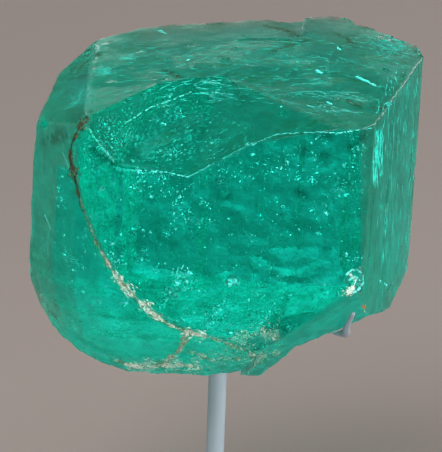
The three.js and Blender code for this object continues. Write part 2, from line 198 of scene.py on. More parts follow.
# Bright lines along edges, painted pale as highlights
EDGE_HIGHLIGHT_LINES = [
    [(133, 170), (165, 172), (188, 177), (224, 158), (256, 141)],
    [(250, 146), (267, 138), (278, 134), (295, 133), (323, 132), (340, 133)],
    [(340, 133), (357, 130), (373, 128)],
    [(124, 124), (151, 107), (177, 98), (192, 91)],
]
# Glints on the top, painted pale as highlights
TOP_GLINTS = [
    [(160, 31), (167, 34)], [(357, 77), (366, 81)], [(367, 81), (377, 87)], [(317, 71), (323, 74)],
    [(327, 102), (333, 105)], [(188, 60), (191, 61)], [(338, 48), (342, 50)], [(281, 107), (284, 108)],
]
NEEDLES = [[(62, 152), (68, 165), (71, 172)], [(45, 215), (51, 230)]]
BRUISE_ARCS = [
    [(347, 274), (352, 270), (358, 270), (363, 275)], [(349, 280), (355, 276), (361, 281)],
    [(363, 276), (363, 283), (358, 290), (353, 294)], [(380, 281), (386, 284), (388, 289)],
]

# Routes that give the surface a finish, and how many millimetres it reaches from them
FINISH_ROUTES = {
    "crusted": ([SEAM_UPPER, SEAM_MIDDLE, SEAM_LOWER, SEAM_END, CRUST_BRANCH, CRUST_FOOT], 1.4),
    "rusty": ([*TOP_STAINS, SEAM_UPPER], 1.3),
    "dulled": ([FROSTED_PATCH, SLANT_BREAK, PALE_PATCH], 1.3),
    "crest": ([BEVEL_CREST], 0.8),
    "painted_shade_band": ([PAINTED_SHADE_PATCH], 4),
    "smudged": (SMUDGES, 1.5),
}

# How much of each finish the parts of the surface have
FINISHES = {
    "frost": {
        "top": 0.8, "chip": 0.25, "front": 0.02, "right": 0.9, "back": 0.9, "under": 0.9, "broken": 0.25,
        "bevel": 0.1, "left_bevel": 0.4, "broken_back": 1, "broken_left": 0.5, "broken_foot": 0.5,
        "crusted": 0.5, "rusty": 0.5, "dulled": 0.7, "crest": 0.4,
    },
    "stain": {"crusted": 1, "rusty": 1},
    "film": {"top": 1, "chip": 0.3, "left_bevel": 0.5, "dulled": 0.8},
    "rust": {"rusty": 1},
    # The smudge mask holds real dark smudges, and painted shade on the lower left, the left side and a band
    # of the front
    "smudge_and_shade": {"smudged": 1, "lower_left": 0.38, "painted_shade_band": 0.5, "left_side": 0.3},
}

# Colours of the stone and its finishes

CLEAR = (0.95, 1.0, 0.98, 1)
SHADE = (0.12, 0.30, 0.24, 1)
FILM = (0.30, 0.66, 0.52, 1)
OLIVE_FILM = (0.34, 0.40, 0.17, 1)
# Dark colour of the smudges, also used as painted shade
SMUDGE_AND_SHADE_COLOUR = (0.02, 0.16, 0.12, 1)
PALE_STAIN = (0.62, 0.70, 0.52, 1)
DARK_STAIN = (0.10, 0.14, 0.06, 1)
CLEAR_SHEEN = (0.03, 0.70, 0.60, 1)
DULL_SHEEN = (0.06, 0.72, 0.62, 1)
FILM_SHEEN = (0.16, 0.90, 0.72, 1)
LEAST_ROUGHNESS = 0.015
FROST_ROUGHNESS = (0.52, 0.74)
BARE_ROUGHER = (1, 1.5)
MOST_SHADE = 0.5
BARE_SHADE = 0.55

# Arcs that sweep over the top's film: how fine they are across and along, the noise levels between
# which they rise, and the values that they rise from and to
SWEEP_CENTRE = Vector((2, -62, 76)) * MM
BROAD_SWEEPS = ((300, 10), (0.40, 0.62, 0.25, 1))
FINE_SWEEPS = ((1500, 34), (0.38, 0.66))

# Mottling of each finish: the scale and detail of its noise, and the levels between which it rises
BARE_MOTTLING = (140, 3, 0.42, 0.58)
FROST_MOTTLING = (900, 4, 0.3, 0.7)
SMUDGE_AND_SHADE_MOTTLING = (800, 3, 0.3, 0.6)
STAIN_MOTTLING = (900, 4, 0.35, 0.6)
OLIVE_MOTTLING = (110, 3, 0.44, 0.58)
SHADE_MOTTLING = (330, 4, 0.42, 0.68)
CRUST_MOTTLING = (2000, 3, 0.2, 0.8)
PAINT_MOTTLING = (300, 4, 0.3, 0.7)

# Grain of each finish: the scale and detail of its noise, and its height
STONE_GRAIN = (2600, 4, 0.15 * MM)
CRUST_GRAIN = (5000, 4, 0.05 * MM)
PAINT_GRAIN = (2500, 2, 0.02 * MM)

# The voids inside the stone: counts, and sizes, reaches and margins in millimetres

VEIL_COUNT = 26
VEIL_VOIDS = 46
VEIL_REACH = (4, 9)
VEIL_MARGIN = 4
VEIL_VOID_SIZE = 0.15
LOOSE_VOID_COUNT = 500
LOOSE_VOID_SIZE = (0.07, 0.2)
LOOSE_VOID_MARGIN = 1.2
TUBE_COUNT = 50
TUBE_LENGTH = (0.5, 1.6)
TUBE_WIDTH = 0.05

# How far a veil bends and wavers, as shares of its reach, and how unevenly its voids tilt
VEIL_BEND = 0.12
VEIL_WAVER = 0.06
VEIL_TILT = 0.5

# Tubes and other shapes stay this many times their own length below the surface
TUBE_COVER = 1.1
COVER = 1.3

# How uneven small shapes are, and the steps in the noise that keep them from looking alike
UNEVENNESS = 0.5
CRUST_UNEVENNESS = 0.6
SWELL_GRAIN = 1.3
OBJECT_STEP = 1.7
COPY_STEP = 7.3
COPY_SIDE_STEP = 3.1

# The flecks: size, depth, reach and cover in millimetres, shape and scatter as shares, and where
# they are tried, in pixels of the photograph

FLECK_SIZE = 0.11
FLECK_SIZE_SPREAD = (-0.25, 0.5)
LARGEST_FLECK = 2.5
FLECK_WIDTH = (0.4, 1)
FLECK_THICKNESS = 0.2
FLECK_CROWDING = 0.7
CLUSTER_SCATTER = 0.12
FLECK_TRIES = 1000
FLECKED_ACROSS = (40, 400)
FLECKED_DOWN = (110, 350)
FLECK_DEPTH = (0.8, 5)
KNOT_TRIES = 90
KNOT_REACH = (0.4, 1.6)
KNOT_FLECKS = 20
KNOT_SCATTER = 0.2
LOOSE_REACH = 0.5
LOOSE_SCATTER = 0.35
GLINT_COVER = 0.4
GLINT_SCATTER = 0.1
FEWEST_IN_GLINT = 6
FLECK_ROUGHNESS = 0.33
FLECK_GREEN = (0.0, 0.84, 0.66, 1)
FLECK_PALE = (0.18, 1.0, 0.93, 1)

# Where flecks crowd: pixel of the middle, depth and reach in millimetres, and count
FLECK_CLUSTERS = [
    (182, 278, 1.0, 1.8, 180), (172, 292, 0.9, 1.3, 120), (114, 262, 1.0, 1.8, 102),
    (190, 218, 2.0, 4.0, 120), (130, 135, 1.0, 5.0, 330), (112, 148, 1.0, 4.0, 210),
    (170, 150, 1.2, 5.0, 300), (215, 140, 1.2, 6.0, 270), (180, 115, 1.2, 5.0, 240),
    (250, 310, 2.0, 6.0, 78), (266, 338, 0.6, 2.0, 180), (140, 180, 1.5, 5.0, 180),
    (210, 322, 1.5, 4.0, 90), (270, 170, 3.0, 5.0, 120), (330, 190, 3.0, 5.0, 120),
    (46, 246, 1.5, 2.0, 72), (50, 170, 1.5, 2.5, 48), (72, 258, 1.5, 3.0, 72),
    (84, 300, 2.0, 4.0, 42), (60, 196, 1.5, 2.0, 42), (104, 72, 0.8, 1.4, 180),
    (128, 58, 0.8, 0.8, 48), (84, 92, 0.8, 1.8, 210), (72, 104, 0.8, 1.2, 120),
    (394, 44, 0.8, 2.0, 180), (372, 38, 0.8, 1.6, 120), (196, 68, 0.8, 2.0, 90),
    (330, 78, 0.8, 2.0, 90), (300, 62, 0.8, 1.6, 72), (240, 74, 0.8, 2.0, 72),
]

# Bright spots: pixel of the middle, and width in pixels
GLINTS = [
    (353, 52, 3), (125, 102, 2), (162, 123, 4), (179, 197, 5), (174, 213, 3), (174, 220, 3),
    (210, 221, 2), (229, 281, 10), (236, 280, 8), (283, 206, 4), (326, 214, 5), (345, 255, 4), (340, 259, 2),
    (168, 317, 3), (218, 344, 3), (124, 362, 4), (134, 357, 3), (118, 278, 3),
    (172, 272, 3), (180, 276, 4), (189, 273, 4), (196, 281, 4), (176, 284, 5), (170, 292, 5), (184, 290, 4),
    (192, 288, 3), (166, 300, 4), (199, 290, 3), (186, 281, 6), (178, 268, 3), (248, 300, 4), (250, 316, 4),
    (262, 322, 3), (224, 300, 3), (270, 268, 3), (212, 316, 3), (150, 232, 3), (152, 196, 4), (140, 190, 4),
    (64, 236, 3), (50, 232, 3), (74, 270, 3), (92, 306, 3), (62, 176, 3), (58, 206, 3), (112, 244, 4),
]

# Pale lines on the surface, painted highlights along edges and glints, and pale needles and bruises: routes,
# width in millimetres, share of gaps, and tone
BRIGHT_LINES = [
    (EDGE_HIGHLIGHT_LINES, 0.15, 0.35, 0.55),
    (NEEDLES, 0.14, 0.0, 0.8),
    (TOP_GLINTS, 0.6, 0.0, 0.6),
    (BRUISE_ARCS, 0.34, 0.1, 1.0),
]

# Patches of scratches, painted pale as highlights where their steps catch the light: box from top left to
# bottom right pixel, slope in degrees, count, length in pixels, width in millimetres, and tone
SCRATCH_PATCHES = [
    ((296, 90, 362, 112), 15, 16, 26, 0.09, 0.7),
    ((196, 78, 230, 94), 9, 12, 18, 0.09, 0.7),
    ((70, 50, 220, 112), -18, 26, 26, 0.08, 0.3),
    ((200, 36, 330, 104), 4, 26, 30, 0.08, 0.3),
    ((300, 34, 410, 110), 17, 24, 26, 0.08, 0.3),
    ((50, 74, 92, 112), -50, 12, 10, 0.10, 0.3),
]
SCRATCH_GAPS = 0.25
SCRATCH_TURN = 7
STREAK_TURN = 5

# Patches of streaks, partly real striations and partly painted highlights and painted bright patches: a box
# as above if spread evenly, or a middle pixel and the reach across and down if crowded, then count, slope in
# degrees, length and width in millimetres, and tone
STREAK_PATCHES = [
    ("evenly", (376, 72, 418, 270), 300, 92, 1.8, 0.08, 0.2),
    ("evenly", (373, 132, 383, 182), 110, 91, 1.6, 0.16, 0.0),
    ("crowded", (105, 72, 6, 2.5), 130, -12, 0.6, 0.07, 0.0),
    ("crowded", (128, 58, 4, 2), 60, -12, 0.5, 0.07, 0.0),
    ("crowded", (80, 95, 7, 9), 420, -58, 0.5, 0.07, 0.0),
    ("crowded", (392, 46, 16, 8), 380, 18, 0.6, 0.07, 0.0),
    ("evenly", (120, 40, 330, 100), 300, -4, 0.9, 0.08, 0.0),
    ("crowded", (150, 138, 22, 14), 130, -20, 0.5, 0.06, 0.0),
    ("crowded", (200, 132, 24, 18), 130, -20, 0.5, 0.06, 0.0),
]

# Splinters: thickness as a share of their width, then step, length and waver in pixels
SPLINTER_THICKNESS = 0.2
SPLINTER_STEP = 1.6
SPLINTER_LENGTH = 2.4
LINE_WAVER = 0.4
SPLINTER_TONE_SPREAD = 0.12

# A pixel's step that is longer than this on the stone has crossed an edge of it
LONGEST_PIXEL = 1 * MM

# Crusts of flakes: route, count, width in pixels, size in millimetres, and tone
CRUSTS = [
    (SEAM_UPPER, 620, 1.9, 0.14, 0.24),
    (SEAM_MIDDLE, 130, 0.9, 0.11, 0.55),
    (SEAM_LOWER, 900, 2.4, 0.13, 0.88),
    (SEAM_END, 200, 2.6, 0.10, 0.80),
    (CRUST_BRANCH, 420, 4.0, 0.09, 0.72),
    (CRUST_FOOT, 1100, 3.2, 0.10, 0.90),
    (CRUST_FOOT_RIGHT, 420, 5.5, 0.06, 0.78),
    (CRUST_FOOT_EDGE, 520, 5.0, 0.08, 0.72),
    (RUST_SPOT, 60, 1.2, 0.10, 2.2),
    (RUST_SPOT_FOOT, 16, 0.7, 0.09, 1.05),
    (BRUISE, 190, 2.6, 0.09, 1.15),
    *[(route, 90, 1.8, 0.08, 0.34) for route in TOP_STAINS],
]
CRUST_ROUGHNESS = 0.8
CRUST_GRAIN_STRENGTH = 0.7

# The crust comes in patches: how many to a pixel, the noise levels of bare and full stretches, the
# share of flakes that bare stretches lose, how wide they are, and what full ones add to that
PATCHES_PER_PIXEL = 0.08
BARE_LEVEL = -0.1
FULL_LEVEL = 0.4
BARE_SHARE = 0.8
BARE_SPREAD = 0.25
ADDED_SPREAD = 1.1

# Flakes: how far ahead each one points, as a share of the route, their length and width in sizes,
# their thickness, and how much they waver, tilt and differ in tone
FLAKE_AHEAD = 0.02
LEAST_HEADING = 0.01
FLAKE_LENGTH = (0.6, 2.2)
FLAKE_WIDTH = (0.6, 1.4)
FLAKE_THICKNESS = 0.3
FLAKE_WAVER = 0.02 * MM
FLAKE_TILT = 0.2
PATCH_TONE = 0.25
FLAKE_TONE_SPREAD = 0.16
CRUST_TONE_MOTTLE = (-0.15, 0.15)
CRUST_BLACK = (0.005, 0.008, 0.004, 1)

# The crust's colours after its black, each with the tones between which it takes over
CRUST_COLOURS = [
    (0.05, 0.28, (0.026, 0.034, 0.014, 1)),
    (0.35, 0.5, (0.13, 0.16, 0.06, 1)),
    (0.6, 0.75, (0.34, 0.42, 0.28, 1)),
    (0.8, 1.0, (0.78, 0.97, 0.86, 1)),
    (1.6, 1.7, (0.50, 0.20, 0.06, 1)),
]

# The stand

PAINT_COLOURS = ((0.31, 0.38, 0.43, 1), (0.36, 0.43, 0.47, 1))
PAINT_ROUGHNESS = (0.44, 0.5)
PAINT_GRAIN_STRENGTH = 0.4
MELT_SIZE = 0.13 * MM
SOFTEN_PASSES = 6
TURNED_EDGE_ANGLE = math.radians(30)

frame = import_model()
STONE_LOW, STONE_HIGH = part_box("emerald_crystal")


# Modelling helpers


def only(piece):
    """Selects one object alone and makes it the active one."""
    bpy.ops.object.select_all(action="DESELECT")
    piece.select_set(True)
    bpy.context.view_layer.objects.active = piece


def apply_modifier(piece, modifier):
    only(piece)
    bpy.ops.object.modifier_apply(modifier=modifier.name)


def smooth_shape(piece, passes, zone=""):
    """Evens out a piece's mesh, or one zone of it."""
    soften = piece.modifiers.new("soften", "SMOOTH")
    soften.vertex_group = zone
    soften.factor = 0.5
    soften.iterations = passes
    apply_modifier(piece, soften)


def face_everything(piece, inside):
    """Turns all faces of a closed piece outwards, or inwards for a void."""
    only(piece)
    bpy.ops.object.mode_set(mode="EDIT")
    bpy.ops.mesh.select_all(action="SELECT")
    bpy.ops.mesh.normals_make_consistent(inside=inside)
    bpy.ops.object.mode_set(mode="OBJECT")


def finish_piece(piece, material, replaced=()):
    """Gives a piece its material and its place in the frame."""
    piece.data.materials.clear()
    piece.data.materials.append(material)
    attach(piece, "root")
    if replaced:
        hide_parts(*replaced)


def copy_of_node(node_name, piece_name):
    """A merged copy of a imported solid, as a piece of its own."""
    piece = frame["nodes"][node_name].copy()
    piece.data = piece.data.copy()
    piece.name = piece_name
    piece.data.name = piece_name
    piece.parent = None
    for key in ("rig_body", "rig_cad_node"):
        del piece[key]
    bpy.context.scene.collection.objects.link(piece)
    only(piece)
    bpy.ops.mesh.customdata_custom_splitnormals_clear()
    bpy.ops.object.mode_set(mode="EDIT")
    bpy.ops.mesh.select_all(action="SELECT")
    bpy.ops.mesh.remove_doubles(threshold=0.001 * MM)
    bpy.ops.object.mode_set(mode="OBJECT")
    face_everything(piece, inside=False)
    return piece


def vertex_places(piece):
    places = np.empty(len(piece.data.vertices) * 3)
    piece.data.vertices.foreach_get("co", places)
    return places.reshape(-1, 3)


def vertex_normals(piece):
    normals = np.empty(len(piece.data.vertices) * 3)
    piece.data.vertex_normals.foreach_get("vector", normals)
    return normals.reshape(-1, 3)


def fade(value, start, end):
    """0 up to the start, 1 from the end on, and smooth between. The end may be below the start."""
    share = np.clip((value - start) / (end - start), 0, 1)
    return share * share * (3 - 2 * share)


def store_mask(piece, name, values):
    """Keeps one value per vertex, for the material."""
    attribute = piece.data.attributes.new(name, "FLOAT", "POINT")
    attribute.data.foreach_set("value", np.asarray(values, np.float32))


def store_zone(piece, name, weights):
    """Keeps one weight per vertex, for a modifier."""
    group = piece.vertex_groups.new(name=name)
    for index in np.nonzero(weights > LEAST_WEIGHT)[0]:
        group.add([int(index)], float(weights[index]), "REPLACE")


# Camera, lights and floor


def add_camera():
    """The camera stands where the photograph was taken from."""
    lens = bpy.data.cameras.new("camera")
    lens.sensor_width = SENSOR_WIDTH
    lens.lens = FOCAL_PIXELS * SENSOR_WIDTH / PHOTO_HEIGHT
    lens.clip_start = NEAREST_SEEN
    lens.clip_end = FARTHEST_SEEN
    camera = bpy.data.objects.new("camera", lens)
    bpy.context.scene.collection.objects.link(camera)
    turned = Matrix((VIEW_RIGHT, VIEW_UP, -VIEW_INTO)).transposed().to_4x4()
    camera.matrix_world = Matrix.Translation(VIEW_PLACE) @ turned
    bpy.context.scene.camera = camera


def softbox(name, place, side, power):
    """A square soft light that faces the crystal."""
    light = bpy.data.lights.new(name, "AREA")
    light.shape = "SQUARE"
    light.size = side
    light.energy = power
    lamp = bpy.data.objects.new(name, light)
    bpy.context.scene.collection.objects.link(lamp)
    lamp.location = place
    lamp.rotation_euler = (CRYSTAL_HEART - place).to_track_quat("-Z", "Y").to_euler()


def add_lights():
    for light in SOFT_LIGHTS:
        softbox(*light)
    world = bpy.data.worlds.new("studio")
    bpy.context.scene.world = world
    world.use_nodes = True
    background = world.node_tree.nodes["Background"]
    background.inputs["Color"].default_value = STUDIO_COLOUR
    background.inputs["Strength"].default_value = STUDIO_STRENGTH


def add_floor():
    bpy.ops.mesh.primitive_plane_add(size=FLOOR_SIDE, location=(0, 0, 0))
    floor = bpy.context.object
    floor.name = "floor"
    paper = Shader("floor_paper")
    paper.set(Base_Color=FLOOR_COLOUR, Roughness=FLOOR_ROUGHNESS)
    floor.data.materials.append(paper.material)


# Shader helpers


class Nodes:
    """A short way to add nodes to one tree."""

    def __init__(self, tree):
        self.tree = tree
        self.coords = tree.nodes.new("ShaderNodeTexCoord").outputs["Object"]

    def give(self, socket, given):
        """Links an output to a socket, or sets the socket's own value."""
        if isinstance(given, bpy.types.NodeSocket):
            self.tree.links.new(given, socket)
        else:
            socket.default_value = given

    def value(self, kind, result, settings=None, **inputs):
        """Adds a node and returns one of its outputs. Inputs go by name, or by number as _0, _1."""
        node = self.tree.nodes.new(kind)
        for key, setting in (settings or {}).items():
            setattr(node, key, setting)
        for key, given in inputs.items():
            which = int(key[1:]) if key[1:].isdigit() else key.replace("_", " ")
            self.give(node.inputs[which], given)
        return node.outputs[result]

    def math(self, operation, first, second):
        return self.value("ShaderNodeMath", "Value", {"operation": operation}, _0=first, _1=second)

    def ramp(self, value, low, high, start=0.0, end=1.0):
        return self.value(
            "ShaderNodeMapRange", "Result", {"interpolation_type": "SMOOTHSTEP"},
            Value=value, From_Min=low, From_Max=high, To_Min=start, To_Max=end,
        )

    def noise(self, scale, detail):
        return self.value("ShaderNodeTexNoise", "Fac", Vector=self.coords, Scale=scale, Detail=detail)


class Group(Nodes):
    """An effect that several finishes share, with named inputs and one named result."""

    def __init__(self, name, inputs, result, result_kind):
        super().__init__(bpy.data.node_groups.new(name, "ShaderNodeTree"))
        for one in inputs:
            self.tree.interface.new_socket(name=one, in_out="INPUT", socket_type="NodeSocketFloat")
        self.tree.interface.new_socket(name=result, in_out="OUTPUT", socket_type=result_kind)
        self.given = self.tree.nodes.new("NodeGroupInput").outputs
        self.result = self.tree.nodes.new("NodeGroupOutput").inputs[result]


def build_mottling():
    """Clouds that rise from Start to End where their noise passes from Low to High."""
    group = Group(
        "mottling", ("Scale", "Detail", "Low", "High", "Start", "End"), "Amount", "NodeSocketFloat",
    )
    given = group.given
    clouds = group.noise(given["Scale"], given["Detail"])
    amount = group.ramp(clouds, given["Low"], given["High"], given["Start"], given["End"])
    group.give(group.result, amount)


def build_grain():
    """Fine grain, as a normal."""
    group = Group("grain", ("Scale", "Detail", "Height", "Strength"), "Normal", "NodeSocketVector")
    given = group.given
    bumps = group.noise(given["Scale"], given["Detail"])
    normal = group.value(
        "ShaderNodeBump", "Normal", Height=bumps, Distance=given["Height"], Strength=given["Strength"],
    )
    group.give(group.result, normal)


class Shader(Nodes):
    """One material and a short way to add its nodes."""

    def __init__(self, name):
        self.material = bpy.data.materials.new(name)
        self.material.use_nodes = True
        super().__init__(self.material.node_tree)
        self.principled = self.tree.nodes["Principled BSDF"]
        self.output = self.tree.nodes["Material Output"]

    def mask(self, name):
        return self.value("ShaderNodeAttribute", "Fac", {"attribute_name": name})

    def mottling(self, scale, detail, low, high, start=0.0, end=1.0):
        return self.value(
            "ShaderNodeGroup", "Amount", {"node_tree": bpy.data.node_groups["mottling"]},
            Scale=scale, Detail=detail, Low=low, High=high, Start=start, End=end,
        )

    def grain(self, scale, detail, height, strength):
        return self.value(
            "ShaderNodeGroup", "Normal", {"node_tree": bpy.data.node_groups["grain"]},
            Scale=scale, Detail=detail, Height=height, Strength=strength,
        )

    def arcs(self, centre, across, along):
        """Noise drawn out along circles round an upright axis."""
        away = self.value(
            "ShaderNodeVectorMath", "Vector", {"operation": "SUBTRACT"}, _0=self.coords, _1=centre,
        )
        flat = self.value(
            "ShaderNodeVectorMath", "Vector", {"operation": "MULTIPLY"}, _0=away, _1=(1, 1, 0),
        )
        radius = self.value("ShaderNodeVectorMath", "Value", {"operation": "LENGTH"}, _0=flat)
        sideways = self.value("ShaderNodeSeparateXYZ", "X", Vector=away)
        ahead = self.value("ShaderNodeSeparateXYZ", "Y", Vector=away)
        turn = self.math("ARCTAN2", sideways, ahead)
        place = self.value(
            "ShaderNodeCombineXYZ", "Vector",
            X=self.math("MULTIPLY", radius, across), Y=self.math("MULTIPLY", turn, along),
        )
        return self.value("ShaderNodeTexNoise", "Fac", Vector=place, Scale=1.0, Detail=4.0)

    def mix(self, share, first, second):
        """The first colour, or the second where the share is 1."""
        return self.value(
            "ShaderNodeMix", 2, {"data_type": "RGBA"}, _0=share, _6=first, _7=second,
        )

    def set(self, **sockets):
        """Gives the main shader its values and colours."""
        for key, given in sockets.items():
            self.give(self.principled.inputs[key.replace("_", " ")], given)


# The stone's outside


def remesh_crystal(piece):
    """Gives the flat faces an even net of small faces and keeps the edges sharp."""
    net = piece.modifiers.new("net", "REMESH")
    net.mode = "SHARP"
    net.octree_depth = NET_DEPTH
    net.scale = NET_SCALE
    net.use_remove_disconnected = False
    apply_modifier(piece, net)


def crystal_zones(piece):
    """How much each vertex belongs to each kind of surface, told by its place and its normal."""
    x, y, z = (vertex_places(piece) / MM).T
    across, depth, up = vertex_normals(piece).T
    zones = {}
    zones["top"] = fade(up, *TOP_TILT) * fade(z, *TOP_LEVEL)
    zones["chip"] = fade(up, *CHIP_TILT) * fade(z, *CHIP_LEVEL) * (1 - zones["top"]) * fade(x, *CHIP_SIDE)
    zones["front"] = fade(depth, *FRONT_TILT)
    zones["right"] = fade(across, *RIGHT_TILT) * fade(z, *RIGHT_LEVEL)
    upright = 1 - fade(np.abs(up), *SLOPING_TILT)
    zones["back"] = upright * fade(depth, *BACK_TILT) * (1 - zones["right"])
    rest = 1 - np.clip(sum(zones.values()), 0, 1)
    zones["under"] = rest * fade(up, *UNDER_TILT)
    zones["bevel"] = rest * fade(up, *BEVEL_TILT)
    zones["broken"] = rest - zones["under"] - zones["bevel"]
    return zones


def relief(piece, zone, grain, height, stretch, turn, level):
    """Raises and sinks a zone by a cloudy pattern, drawn out along an axis."""
    pattern = bpy.data.textures.new(zone, "CLOUDS")
    pattern.noise_scale = 1
    pattern.noise_depth = 3
    bpy.ops.object.empty_add(location=CRYSTAL_HEART, rotation=(0, 0, math.radians(turn)))
    guide = bpy.context.object
    guide.scale = [grain * MM * side for side in stretch]
    push = piece.modifiers.new("relief", "DISPLACE")
    push.texture = pattern
    push.texture_coords = "OBJECT"
    push.texture_coords_object = guide
    push.vertex_group = zone
    push.mid_level = level
    push.strength = height * MM
    bpy.context.view_layer.update()
    apply_modifier(piece, push)
    bpy.data.objects.remove(guide)


def shape_surfaces(piece):
    """The relief of each kind of surface, and the wear of the left end of the top."""
    zones = crystal_zones(piece)
    for name, weights in zones.items():
        store_zone(piece, name, weights)
    for one in RELIEFS:
        relief(piece, *one)
    across, _, height = (vertex_places(piece) / MM).T
    store_zone(piece, "worn", fade(across, *WORN_SIDE) * fade(height, *WORN_LEVEL))
    smooth_shape(piece, WEAR_PASSES, "worn")
    return zones


def photo_ray(across, down):
    """The direction of the view through a pixel of the photograph."""
    ray = VIEW_INTO * FOCAL_PIXELS
    ray += VIEW_RIGHT * (across - PHOTO_WIDTH / 2) - VIEW_UP * (down - PHOTO_HEIGHT / 2)
    return ray.normalized()


def on_surface(tree, across, down):
    """The place on the stone that a pixel shows, and its normal, or nothing."""
    place, normal, _, _ = tree.ray_cast(VIEW_PLACE, photo_ray(across, down))
    return (place, normal) if place is not None else None


def bent_inwards(ray, normal):
    """The direction of a ray of light once it has passed into the stone."""
    share = 1 / EMERALD_IOR
    cosine = -ray.dot(normal)
    return ray * share + normal * (share * cosine - math.sqrt(1 - share * share * (1 - cosine * cosine)))


def below_surface(tree, across, down, depth):
    """A place inside the stone that a pixel shows, and how a mirror there faces to show the key light."""
    place, normal = on_surface(tree, across, down)
    view = bent_inwards(photo_ray(across, down), normal)
    light = bent_inwards((place - KEY_PLACE).normalized(), normal)
    return place + view * depth, -(view + light).normalized()


def point_on_route(route, share):
    """The pixel a share of the way along a route of pixels."""
    steps = [math.dist(a, b) for a, b in zip(route, route[1:])]
    left = share * sum(steps)
    for (a, b), step in zip(zip(route, route[1:]), steps):
        if left <= step:
            return [a[i] + (b[i] - a[i]) * left / step for i in range(2)]
        left -= step
    return list(route[-1])


def route_on_surface(tree, route):
    """Places on the stone at even steps along a route, with their normals."""
    pixels = [point_on_route(route, i / ROUTE_STEPS) for i in range(ROUTE_STEPS + 1)]
    hits = [on_surface(tree, *pixel) for pixel in pixels]
    return [hit for hit in hits if hit]


def nearness(piece, tree, routes, reach):
    """1 on the routes, fading to 0 a reach away from them."""
    places = vertex_places(piece)
    closest = np.full(len(places), np.inf)
    for route in routes:
        for place, _ in route_on_surface(tree, route):
            closest = np.minimum(closest, np.linalg.norm(places - np.array(place), axis=1))
    return 1 - fade(closest, 0, reach)


def parts_of_surface(piece, tree, zones):
    """The parts that have a finish of their own, each as one weight per vertex."""
    sideways, backward, _ = vertex_normals(piece).T
    across, depth, height = (vertex_places(piece) / MM).T
    broken = zones["broken"]
    parts = dict(zones)
    lower_left = fade(across, *LOWER_LEFT_SIDE) * fade(height, *LOWER_LEFT_LEVEL)
    parts["left_bevel"] = zones["bevel"] * fade(sideways, *LEFT_BEVEL_TILT)
    parts["broken_back"] = broken * fade(backward, *BROKEN_BACK_TILT)
    parts["broken_left"] = broken * fade(sideways, *BROKEN_LEFT_TILT)
    parts["broken_foot"] = broken * fade(across, *BROKEN_FOOT_SIDE) * fade(height, *BROKEN_FOOT_LEVEL)
    # The lower left and the left side take painted shade through the smudge mask
    parts["lower_left"] = broken * lower_left * fade(depth, *LOWER_LEFT_DEPTH)
    parts["left_side"] = fade(sideways, *LEFT_SIDE_TILT) * fade(depth, *LEFT_SIDE_DEPTH)
    for name, (routes, reach) in FINISH_ROUTES.items():
        parts[name] = nearness(piece, tree, routes, reach * MM)
    parts["painted_shade_band"] *= zones["front"]
    return parts


# Many small shapes as one mesh


def joined_copies(name, template, placements, unevenness, tones=None):
    """One object made of a copy of the template at each placement, each swollen in its own way."""
    shape = np.array([vertex.co for vertex in template.data.vertices])
    faces = [tuple(polygon.vertices) for polygon in template.data.polygons]
    all_places = []
    all_faces = []
    for count, placement in enumerate(placements):
        offset = Vector((OBJECT_STEP * len(name), COPY_STEP * count, COPY_SIDE_STEP * count))
        swell = [1 + unevenness * noise.noise(Vector(corner) * SWELL_GRAIN + offset) for corner in shape]
        placed = (shape * np.array(swell)[:, None]) @ np.array(placement.to_3x3()).T
        placed += np.array(placement.translation)
        first = count * len(shape)
        all_places.extend(map(tuple, placed))
        all_faces.extend(tuple(first + corner for corner in face) for face in faces)
    mesh = bpy.data.meshes.new(name)
    mesh.from_pydata(all_places, [], all_faces)
    joined = bpy.data.objects.new(name, mesh)
    bpy.context.scene.collection.objects.link(joined)
    if tones:
        store_mask(joined, "tone", np.repeat(tones, len(shape)))
    return joined


def uneven_balls(name, placements, unevenness, tones=None):
    """One object made of small uneven balls, stretched and turned by their placements."""
    bpy.ops.mesh.primitive_ico_sphere_add(subdivisions=1, radius=1)
    ball = bpy.context.object
    joined = joined_copies(name, ball, placements, unevenness, tones)
    bpy.data.objects.remove(ball)
    return joined


def random_direction():
    while True:
        direction = Vector([CHANCE.uniform(-1, 1) for _ in range(3)])
        if 0.1 < direction.length < 1:
            return direction.normalized()


def placement(place, facing, sizes, lengthwise=None):
    """A matrix that puts a unit shape at a place, Z the way it faces and X close to lengthwise."""
    facing = facing.normalized()
    lengthwise = lengthwise or random_direction()
    side = facing.cross(lengthwise).normalized()
    turned = Matrix((side.cross(facing), side, facing)).transposed().to_4x4()
    return Matrix.Translation(place) @ turned @ Matrix.Diagonal((*sizes, 1))


# The stone's inside


def well_inside(tree, place, margin):
    """True if a place is in the stone, at least the margin below its surface."""
    nearest, normal, _, distance = tree.find_nearest(place)
    if distance < margin or (place - nearest).dot(normal) > 0:
        return False
    for way in (Vector((0, 0, 1)), Vector((0, -1, 0))):
        _, normal, _, _ = tree.ray_cast(place, way)
        if normal is None or normal.dot(way) < 0:
            return False
    return True


def random_place_inside(tree, margin):
    while True:
        place = Vector([CHANCE.uniform(STONE_LOW[i], STONE_HIGH[i]) for i in range(3)])
        if well_inside(tree, place, margin):
            return place


def veil(tree, middle, facing, reach, count, size):
    """Placements of tiny voids over a gently bent sheet, the healed crack that holds them."""
    voids = []
    side = facing.orthogonal().normalized()
    other = facing.cross(side)
    for _ in range(count):
        spread = reach * math.sqrt(CHANCE.random())
        turn = CHANCE.uniform(0, 2 * math.pi)
        bend = VEIL_BEND * spread * math.sin(3 * turn) + VEIL_WAVER * reach * CHANCE.uniform(-1, 1)
        place = middle + side * spread * math.cos(turn) + other * spread * math.sin(turn) + facing * bend
        length = size * CHANCE.uniform(0.5, 1.6)
        sizes = (length, length * CHANCE.uniform(0.35, 0.9), length * CHANCE.uniform(0.12, 0.3))
        if well_inside(tree, place, length * COVER):
            tilt = facing + VEIL_TILT * random_direction()
            voids.append(placement(place, tilt, sizes))
    return voids


